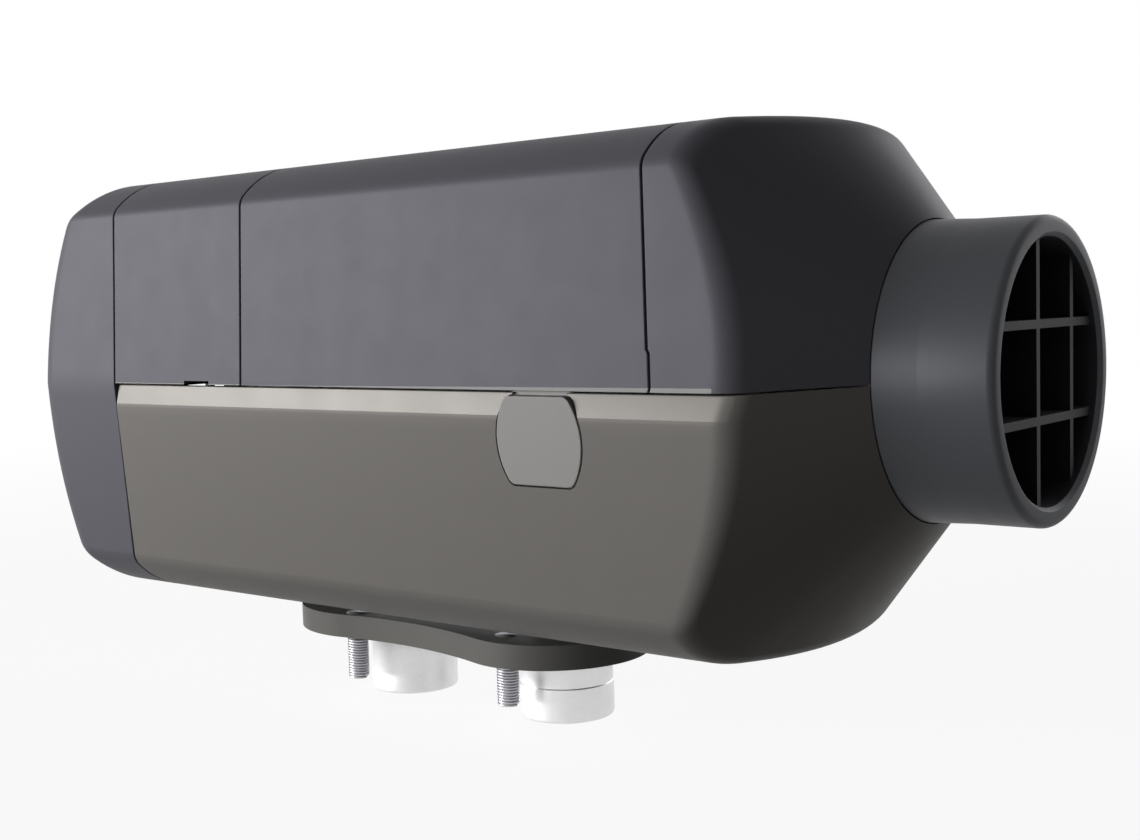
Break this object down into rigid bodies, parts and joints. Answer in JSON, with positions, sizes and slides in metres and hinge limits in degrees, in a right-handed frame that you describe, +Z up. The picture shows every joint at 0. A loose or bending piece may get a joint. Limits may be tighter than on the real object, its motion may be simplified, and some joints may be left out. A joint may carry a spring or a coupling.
{
  "type": "diesel air heater",
  "caption": "Compact diesel air heater with a split plastic housing, round duct collars at both ends and a bolted foot with gas stubs.",
  "frame": {"origin": "centre of the stud pattern on the foot flange's sealing face", "axes": "+X along the heater from air intake to air outlet, +Z up out of the mounting surface, -Y is the side with the blanking cover"},
  "size_m": [0.3065, 0.118, 0.1543],
  "materials": {
    "upper_plastic": "satin, finely grained moulded plastic, cool dark grey",
    "lower_plastic": "satin, finely grained moulded plastic, warm dark grey",
    "collar_plastic": "satin dark grey moulded plastic",
    "grille_plastic": "near-black moulded plastic",
    "cover_plastic": "satin warm grey moulded plastic",
    "rubber": "matt black rubber",
    "foot_coating": "satin dark grey coated metal",
    "plated_steel": "zinc-plated steel",
    "bare_aluminium": "bare bright aluminium, slightly mottled",
    "cast_aluminium": "die-cast aluminium",
    "heat_steel": "heat-tinted stainless steel",
    "graphite_gasket": "graphite-faced gasket sheet",
    "plug_steel": "nickel-plated steel",
    "ceramic": "off-white ceramic",
    "spring_steel": "bright spring steel",
    "motor_steel": "zinc-plated drawn steel",
    "bearing_steel": "ground bearing steel",
    "fan_plastic": "glass-filled black plastic",
    "magnet": "dark grey sintered magnet",
    "ecu_plastic": "matt black plastic",
    "connector_plastic": "off-white nylon"
  },
  "bodies": {
    "housing": {"intake_cap": "upper_plastic", "intake_collar": "collar_plastic", "intake_grille": "grille_plastic", "upper_jacket": "upper_plastic", "outlet_hood": "upper_plastic", "lower_shell": "lower_plastic", "outlet_collar": "collar_plastic", "outlet_grille": "grille_plastic", "finger_guard": "grille_plastic", "blanking_cover": "cover_plastic", "harness_grommet": "rubber", "foot_flange": "foot_coating", "foot_studs": "plated_steel", "combustion_air_stub": "bare_aluminium", "exhaust_stub": "bare_aluminium", "fuel_pipe": "plated_steel", "neck_seal": "rubber", "heat_exchanger": "cast_aluminium", "combustion_chamber": "heat_steel", "burner_flange": "cast_aluminium", "chamber_gasket": "graphite_gasket", "chamber_screws": "plated_steel", "glow_plug": "plug_steel", "temperature_sensor": "ceramic", "sensor_clip": "spring_steel", "blower_housing": "cast_aluminium", "blower_cover": "cast_aluminium", "blower_gasket": "rubber", "blower_screws": "plated_steel", "motor_body": "motor_steel", "front_bearing": "bearing_steel", "rear_bearing": "bearing_steel", "ecu_box": "ecu_plastic", "ecu_lid": "ecu_plastic", "ecu_connectors": "connector_plastic"},
    "ecu_cover": {"ecu_cover": "upper_plastic"},
    "rotor": {"rotor_shaft": "bearing_steel", "combustion_impeller": "fan_plastic", "heater_air_impeller": "fan_plastic", "impeller_magnet": "magnet"}
  },
  "joints": [
    {"name": "fan_spin", "type": "hinge", "parent": "housing", "child": "rotor", "pos_m": [-0.06, 0, 0.075], "axis": [1, 0, 0], "continuous": true},
    {"name": "ecu_cover_lift", "type": "slide", "parent": "housing", "child": "ecu_cover", "axis": [0, 0, 1], "range_m": [0, 0.09]}
  ]
}
